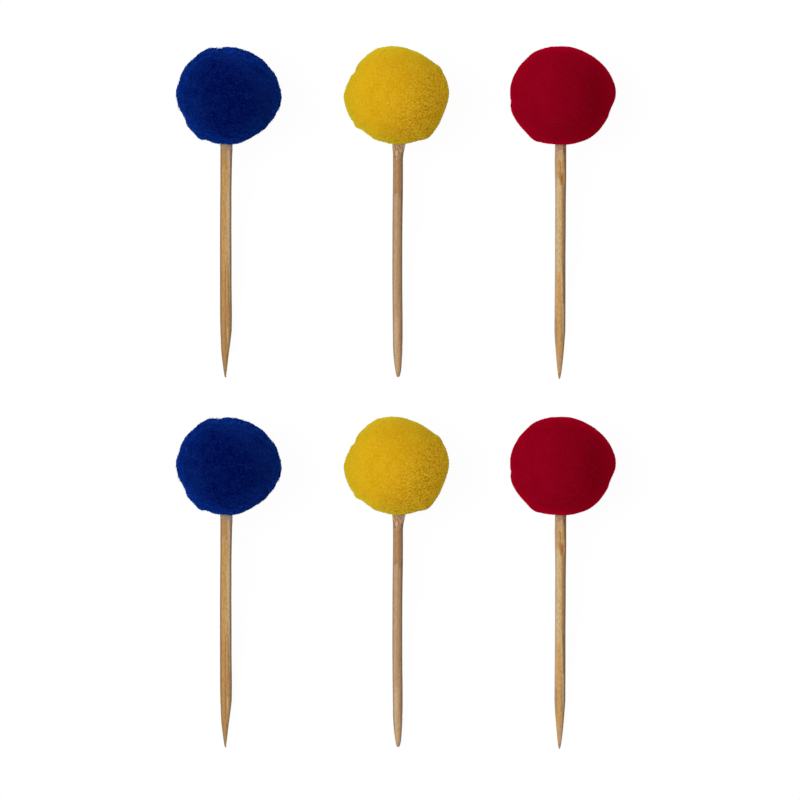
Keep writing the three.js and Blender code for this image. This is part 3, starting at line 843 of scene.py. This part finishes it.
# A streak's share is 1 between its two edges, which run straight from where it starts to where it ends. It
# fades out within a millimetre or so at either end, and raggedly so, since the way along it is shaken.
def streakShare(recipe, x, along, start, end, edges):
    leftFrom, rightFrom, leftTo, rightTo = (edges * 2)[:4]
    soft, fade = stickLook["softness"], min(stickLook["fade"], (end - start) / 4)
    share = 1.0
    for first, last, low, high in ((leftFrom, leftTo, 0.0, 1.0), (rightFrom, rightTo, 1.0, 0.0)):
        line = recipe.spread(along, start, end, first, last, steps="LINEAR")
        share = recipe.times(recipe.spread(recipe.minus(x, line), -soft, soft, low, high), share)
    share = recipe.times(share, recipe.spread(along, start, start + fade))
    return recipe.times(share, recipe.spread(along, end - fade, end, 1.0, 0.0))


def woodMaterial(colour):
    look = {**stickLook, **stickLook[colour]}
    recipe = newRecipe(f"{colour}Wood")
    place = recipe.attribute("stickPlace", "Vector")
    stretched = recipe.mapped(place, (1, 1, look["grainStretch"]))
    grain = recipe.noise(stretched, look["grainFineness"], detail=5, roughness=0.6)
    fine = recipe.noise(stretched, look["fibreFineness"], detail=3, roughness=0.6)
    short = recipe.mapped(place, (1, 1, look["dashStretch"]))
    dashes = recipe.noise(short, look["dashFineness"], detail=2, roughness=0.7)
    share = recipe.plus(recipe.times(grain, look["grainShare"]), recipe.times(fine, 1 - look["grainShare"]))
    recipe.colours = recipe.ramp(share, look["ramp"], look["tones"])
    parts = recipe.add("ShaderNodeSeparateXYZ", {0: place}).outputs
    wander = recipe.minus(recipe.noise(recipe.mapped(place, look["wanderScale"]), 1.0), 0.5)
    x = recipe.plus(parts[0], recipe.times(wander, look["wander"]))
    along = recipe.minus(parts[2], neckOf(colour))
    fibre = recipe.minus(fine, 0.5)
    rough = recipe.spread(dashes, *look["dashRange"], look["dashLeast"], 1.0)
    # the streaks, among them painted shade down the right side and at the neck
    for start, end, *edges, tint, strength in look["streaks"]:
        shake = min(look["mostShake"], look["shake"] * (end - start))
        ragged = recipe.plus(along, recipe.times(fibre, shake))
        factor = recipe.times(streakShare(recipe, x, ragged, start, end, edges), strength)
        recipe.tint(recipe.times(factor, rough), tint)
    # painted light and shade along the stick's left and right sides
    side = recipe.plus(recipe.attribute("stickSide", "Fac"), recipe.times(wander, look["sideWander"]))
    for (low, high, bottom, top), (tint, strength) in zip(look["paintedEdgeRanges"], look["edges"]):
        recipe.tint(recipe.spread(side, low, high, bottom * strength, top * strength), tint)
    marks = recipe.ramp(dashes, look["markRamp"], (look["marks"], (255, 255, 255)))
    sockets = {"Base Color": recipe.mix(1.0, recipe.colours, marks, blend="MULTIPLY"),
               "Roughness": look["roughness"], "Specular IOR Level": look["specular"]}
    return recipe.coat(sockets, look, fine)


# A stick is a row of rounded squares, each between its left and right edge, with fine grooves along the
# grain. It is cut off flat where it lies on the table.
def makeStick(colour, number, material):
    look, stick = stickLook, stickShapes[colour]
    neck, end, reach = neckOf(colour), endOf(colour), stick["reach"]
    share = np.linspace(0, 1, look["rings"])
    distance = end + (reach - end) * (1 - (1 - share) ** look["ringSpacing"])
    back = reach - distance
    widths = trimmedSides(colour, sideWidths(stick, back), distance - neck)
    left, right = (np.maximum(width, look["thinnest"])[:, None] for width in widths)
    out = np.clip((distance - neck) / (reach - neck), 0, 1)
    middle = (4 * (stick["bow"] + look[colour]["bow"]) * out * (1 - out))[:, None]
    angle = fullTurn(look["sides"])
    power = 2 / stick["squareness"]
    across, up = (np.sign(way) * np.abs(way) ** power for way in (np.cos(angle), np.sin(angle)))
    # columns turn right-handed about the way along, so up runs the other way round
    x = middle + across * np.where(across < 0, left, right)
    z = -up * (left + right) / 2
    places = np.stack(np.broadcast_arrays(x, z, distance[:, None]), axis=-1)
    circle = (np.cos(angle) * look["grooveCircle"], np.sin(angle) * look["grooveCircle"])
    grooveAt = np.stack(np.broadcast_arrays(*circle, distance[:, None] * look["grooveStretch"]), axis=-1)
    groove = waveNoise(grooveAt, look["grooveSize"], 7 + colourNames.index(colour)) - look["grooveLevel"]
    groove = 1 + look["groove"] * groove * np.minimum(1, back / look["grooveFade"])[:, None]
    places[..., 0] = middle + (places[..., 0] - middle) * groove
    places[..., 1] *= groove
    ball = ballMiddle(colour, number)
    start = onStick(colour, np.array([0, 0, end]))
    tip = onStick(colour, np.array([0, 0, reach + stick["tipWidth"] * look["tipRise"]]))
    rings = onStick(colour, places)
    rings[..., 2] = np.maximum(rings[..., 2], -ball[2])
    sides = np.broadcast_to(across, x.shape)
    piece = skinOver(f"{colour}Stick{number}", rings + ball, {"stickPlace": places, "stickSide": sides},
                     (start + ball, tip + ball))
    piece.data.materials.append(material)
    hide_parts(f"{colour}_stick_{number}")
    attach(piece, f"{colour}_topper_{number}")


# The glue: a sleeve in the yarn and a film that runs a little way down the stick. Flare and run are given at
# the stick's left and right side: how far the glue stands off the stick at the neck, and how far it runs
# down. A wave of its edge is (share of the run, waves round the stick, phase).
# The yellow toppers' glue is cloudy and brownish, and that of the others is nearly clear.
glueLook = {
    "columns": 96,
    "rows": 14,
    "sleeveDepth": 1.3,  # how far up from the neck the sleeve ends, and where the film starts
    "filmDepth": 0.9,
    "film": 0.08,
    "filmFall": 4,
    "flareFall": 1.5,
    "gap": 0.02,
    "waves": [(0.25, 3, 1.1), (0.15, 5, 0), (0.1, 8, 2)],
    "stretch": 0.25, "fineness": 2, "ramp": (0.42, 0.58), "roughness": 0.35, "specular": 0.4,
    "bump": 0.3, "bumpDepth": 0.0002,
    "blue": {"flare": (0.0, 0.0), "run": (0.8, 2.2), "alpha": 0.25, "clear": (218, 200, 180),
             "stained": (178, 146, 116)},
    "yellow": {"flare": (0.18, 0.66), "run": (3.0, 3.0), "alpha": 0.75, "clear": (226, 188, 146),
               "stained": (156, 108, 62)},
    "red": {"flare": (0.0, 0.0), "run": (1.6, 0.8), "alpha": 0.2, "clear": (222, 196, 172),
            "stained": (196, 152, 122)},
}


def glueMaterial(colour):
    look = {**glueLook, **glueLook[colour]}
    recipe = newRecipe(f"{colour}Glue")
    place = recipe.mapped(recipe.attribute("gluePlace", "Vector"), (1, 1, look["stretch"]))
    streaks = recipe.noise(place, look["fineness"], detail=3, roughness=0.6)
    colours = recipe.ramp(streaks, look["ramp"], (look["stained"], look["clear"]))
    return recipe.coat({"Base Color": colours, "Roughness": look["roughness"], "Alpha": look["alpha"],
                        "Specular IOR Level": look["specular"]}, look, streaks)


# The glue's skin goes down its outside and back up along the stick. In the yarn it is a round sleeve. Outside
# it stands off the stick by the film and a flare that dies away down the stick, and it ends in a wavy edge.
def makeGlue(colour, number, material):
    look, sizes, neck = glueLook, topperSizes, neckOf(colour)
    turn = fullTurn(look["columns"])
    section = neckReach(colour, turn)
    top = neck - sizes["glueDepth"]
    wide = section.max() + sizes["fit"] + sizes["glueWall"]
    wave = sum((share * np.sin(turn * count + phase) for share, count, phase in look["waves"]), start=1)
    run = leftToRight(look[colour]["run"], turn) * wave
    down = np.linspace(0, 1, look["rows"])[:, None]
    film = neck - look["filmDepth"] + (run + look["filmDepth"]) * down
    fall = np.clip((film - neck) / run, 0, 1)
    out = section + look["gap"] + look["film"] * (1 - fall ** look["filmFall"])
    out = out + flareRise(colour, turn) * (1 - fall) ** look["flareFall"]
    behind = section + look["gap"] / 2
    rows = [(top, wide), (neck - look["sleeveDepth"], wide), *zip(film, out), (film[-1], behind),
            (top, behind)]
    distance, radius = (np.array([np.broadcast_to(value, turn.shape) for value in part])
                        for part in zip(*rows))
    places = np.stack([radius * np.cos(turn), -radius * np.sin(turn), distance], axis=-1)
    rings = onStick(colour, places) + ballMiddle(colour, number)
    piece = skinOver(f"{colour}Glue{number}", rings, {"gluePlace": places})
    piece.data.materials.append(material)
    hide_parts(f"{colour}_glue_{number}")
    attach(piece, f"{colour}_topper_{number}")


threadLook = {
    "pale": (216, 208, 190), "dark": (176, 164, 140), "ramp": (0.4, 0.6), "turnsPerMetre": 2500,
    "roughness": 0.85, "bump": 0.4, "bumpDepth": 0.0002,
}


def threadMaterial():
    look = threadLook
    recipe = newRecipe("tieThread")
    place = recipe.add("ShaderNodeTexCoord").outputs["Object"]
    twist = recipe.noise(place, look["turnsPerMetre"], detail=3)
    colours = recipe.ramp(twist, look["ramp"], (look["dark"], look["pale"]))
    return recipe.coat({"Base Color": colours, "Roughness": look["roughness"]}, look, twist)


# The white table. The camera sees it nearly white by itself, and its lit part keeps a faint shadow. Its side
# and its drop under the toppers are in metres.
floorLook = {"side": 12, "drop": 0.00005, "white": 0.78, "glow": 0.965, "lit": 0.04}


def makeFloor():
    half, low = floorLook["side"] / 2, -floorLook["drop"]
    corners = [(-half, -half, low), (half, -half, low), (half, half, low), (-half, half, low)]
    mesh = bpy.data.meshes.new("table")
    mesh.from_pydata(corners, [], [(0, 1, 2, 3)])
    floor = newObject("table", mesh)
    recipe = newRecipe("whiteTable")
    white = floorLook["white"]
    path = recipe.add("ShaderNodeLightPath")
    seen = recipe.maths("MAXIMUM", path.outputs["Is Camera Ray"], path.outputs["Is Glossy Ray"])
    seen = recipe.maths("MAXIMUM", seen, path.outputs["Is Transmission Ray"])
    plain = recipe.add("ShaderNodeBsdfDiffuse", {"Color": (white, white, white, 1)})
    faint = recipe.add("ShaderNodeBsdfDiffuse", {"Color": (floorLook["lit"],) * 3 + (1,)})
    glow = recipe.add("ShaderNodeEmission", {"Color": (1, 1, 1, 1), "Strength": floorLook["glow"]})
    bright = recipe.add("ShaderNodeAddShader", {0: faint.outputs[0], 1: glow.outputs[0]})
    both = recipe.add("ShaderNodeMixShader", {0: seen, 1: plain.outputs[0], 2: bright.outputs[0]})
    mesh.materials.append(recipe.finish(both.outputs[0]))


# Soft light: an even white surround, which the camera sees in full white, and a wide far lamp over the
# table and to the left of the picture.
lightLook = {
    "surround": 0.46, "seen": 1.0, "lampStrength": 1.95, "lampAngle": 35, "lampFrom": (-0.47, 0.1, 0.87),
}


def makeLights():
    recipe = Recipe(bpy.data.worlds.new("studio"), "ShaderNodeOutputWorld")
    path = recipe.add("ShaderNodeLightPath")
    strength = recipe.add("ShaderNodeMapRange", {
        "Value": path.outputs["Is Camera Ray"], "To Min": lightLook["surround"], "To Max": lightLook["seen"]})
    background = recipe.add("ShaderNodeBackground", {
        "Color": (1, 1, 1, 1), "Strength": strength.outputs["Result"]})
    bpy.context.scene.world = recipe.finish(background.outputs[0])
    data = bpy.data.lights.new("softLamp", "SUN")
    data.energy = lightLook["lampStrength"]
    data.angle = math.radians(lightLook["lampAngle"])
    lamp = newObject("softLamp", data)
    lamp.location = lightLook["lampFrom"]
    lamp.rotation_mode = "QUATERNION"
    lamp.rotation_quaternion = (-lamp.location).to_track_quat("-Z", "Y")


# The camera looks straight down from far off. Pixels are the photograph's: the yellow ball of the upper row
# has its middle at ballPixel, and pixelsPerMillimetre holds at the height sharpHeight over the table. What is
# nearer or farther than clip, in metres, isn't drawn.
cameraLook = {
    "side": 800, "pixelsPerMillimetre": 3.5, "ballPixel": (397.0, 95.7), "sharpHeight": 9, "lens": 1200,
    "clip": (0.1, 20),
}


def makeCamera():
    look = cameraLook
    data = bpy.data.cameras.new("camera")
    camera = newObject("camera", data)
    data.lens = look["lens"]
    data.clip_start, data.clip_end = look["clip"]
    width = look["side"] / look["pixelsPerMillimetre"]
    distance = width * data.lens / data.sensor_width
    ball = ballMiddle("yellow", 1)
    scale = 1 / look["pixelsPerMillimetre"] * (1 - (ball[2] - look["sharpHeight"]) / distance)
    x = ball[0] + (look["side"] / 2 - look["ballPixel"][0]) * scale
    y = ball[1] - (look["side"] / 2 - look["ballPixel"][1]) * scale
    camera.location = (x * metre, y * metre, (distance + look["sharpHeight"]) * metre)
    bpy.context.scene.camera = camera


print("materials")
yarns, fuzzes, woods, glues = ({colour: make(colour) for colour in colourNames}
                               for make in (yarnMaterial, fuzzMaterials, woodMaterial, glueMaterial))
thread = threadMaterial()

for number in rowNumbers:
    for colour in colourNames:
        print("topper", colour, number)
        makePompom(colour, number, yarns[colour])
        makeFuzz(colour, number, fuzzes[colour])
        makeStick(colour, number, woods[colour])
        makeGlue(colour, number, glues[colour])
        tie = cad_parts[f"{colour}_tie_{number}"]
        tie.data.materials.clear()
        tie.data.materials.append(thread)

print("table, light and camera")
makeFloor()
makeLights()
makeCamera()
bpy.context.scene.view_settings.view_transform = "Standard"
